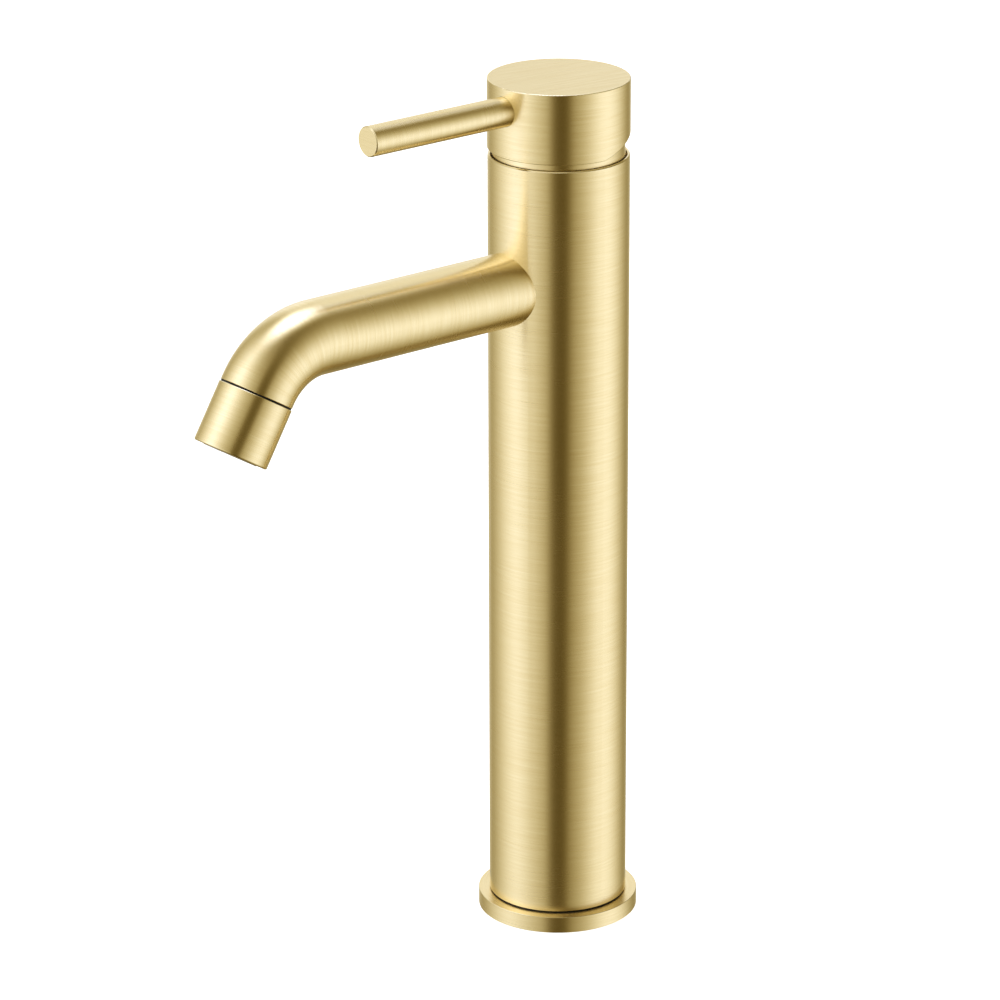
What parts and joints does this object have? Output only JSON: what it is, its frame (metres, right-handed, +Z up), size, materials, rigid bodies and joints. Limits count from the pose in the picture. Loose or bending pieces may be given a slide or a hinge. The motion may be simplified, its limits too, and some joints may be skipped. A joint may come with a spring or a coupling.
{
  "type": "bathroom mixer faucet",
  "caption": "Tall single-lever basin mixer: round brushed-gold column on a flange, straight spout with a down-turned nozzle, and a round cap with a pin lever.",
  "frame": {"origin": "centre of the base's underside, on the column's axis", "axes": "+Z up along the column; the spout and the lever point along -Y at rest; hot is on -X and cold on +X"},
  "size_m": [0.0584, 0.1859, 0.3156],
  "materials": {
    "base_flange": "fine brushed, pale gold",
    "column": "fine brushed, pale gold",
    "spout_tube": "fine brushed, pale gold",
    "nozzle": "fine brushed, pale gold",
    "trim_dome": "fine brushed, pale gold",
    "handle_cap": "fine brushed, pale gold",
    "lever": "fine brushed, pale gold",
    "base_block": "turned",
    "chamber_plug": "turned",
    "valve_body": "turned",
    "retaining_nut": "turned",
    "aerator_screens": "satin",
    "pivot_pin": "satin",
    "spindle": "satin",
    "lever_stud": "satin",
    "grub_screw": "satin",
    "hot_inlet_tube": "drawn copper",
    "cold_inlet_tube": "drawn copper",
    "base_gasket": "matt",
    "hot_tube_seal": "matt",
    "cold_tube_seal": "matt",
    "plug_seal": "matt",
    "body_seal": "matt",
    "aerator_washer": "matt",
    "foot_washer": "matt",
    "joint_ring": "matt",
    "cartridge_seal": "matt",
    "hot_port_seal": "matt",
    "cold_port_seal": "matt",
    "disc_gasket": "matt",
    "aerator_housing": "moulded",
    "outlet_grid": "moulded",
    "flow_restrictor": "moulded",
    "cartridge_base": "moulded",
    "cartridge_housing": "moulded",
    "rotor": "moulded",
    "disc_carrier": "moulded",
    "fixed_disc": "lapped ceramic",
    "moving_disc": "lapped ceramic"
  },
  "bodies": {
    "faucet": {"base_flange": "base_flange", "column": "column", "spout_tube": "spout_tube", "nozzle": "nozzle", "trim_dome": "trim_dome", "base_block": "base_block", "chamber_plug": "chamber_plug", "valve_body": "valve_body", "retaining_nut": "retaining_nut", "aerator_screens": "aerator_screens", "hot_inlet_tube": "hot_inlet_tube", "cold_inlet_tube": "cold_inlet_tube", "base_gasket": "base_gasket", "hot_tube_seal": "hot_tube_seal", "cold_tube_seal": "cold_tube_seal", "plug_seal": "plug_seal", "body_seal": "body_seal", "aerator_washer": "aerator_washer", "foot_washer": "foot_washer", "joint_ring": "joint_ring", "cartridge_seal": "cartridge_seal", "hot_port_seal": "hot_port_seal", "cold_port_seal": "cold_port_seal", "disc_gasket": "disc_gasket", "aerator_housing": "aerator_housing", "outlet_grid": "outlet_grid", "flow_restrictor": "flow_restrictor", "cartridge_base": "cartridge_base", "cartridge_housing": "cartridge_housing", "fixed_disc": "fixed_disc"},
    "swivel": {"rotor": "rotor", "pivot_pin": "pivot_pin"},
    "disc_slide": {"disc_carrier": "disc_carrier", "moving_disc": "moving_disc"},
    "handle": {"spindle": "spindle", "handle_cap": "handle_cap", "lever": "lever", "lever_stud": "lever_stud", "grub_screw": "grub_screw"}
  },
  "joints": [
    {"name": "handle_swivel", "type": "hinge", "parent": "faucet", "child": "swivel", "pos_m": [0, 0, 0.288], "axis": [0, 0, 1], "range_deg": [-50, 50]},
    {"name": "handle_tilt", "type": "hinge", "parent": "swivel", "child": "handle", "pos_m": [0, 0, 0.288], "axis": [-1, 0, 0], "range_deg": [0, 20]},
    {"name": "disc_travel", "type": "slide", "parent": "swivel", "child": "disc_slide", "axis": [0, -1, 0], "range_m": [0, 0.0047]}
  ],
  "couplings": [
    {"joint": "disc_travel", "follows": "handle_tilt", "m_per_rad": 0.013432}
  ]
}
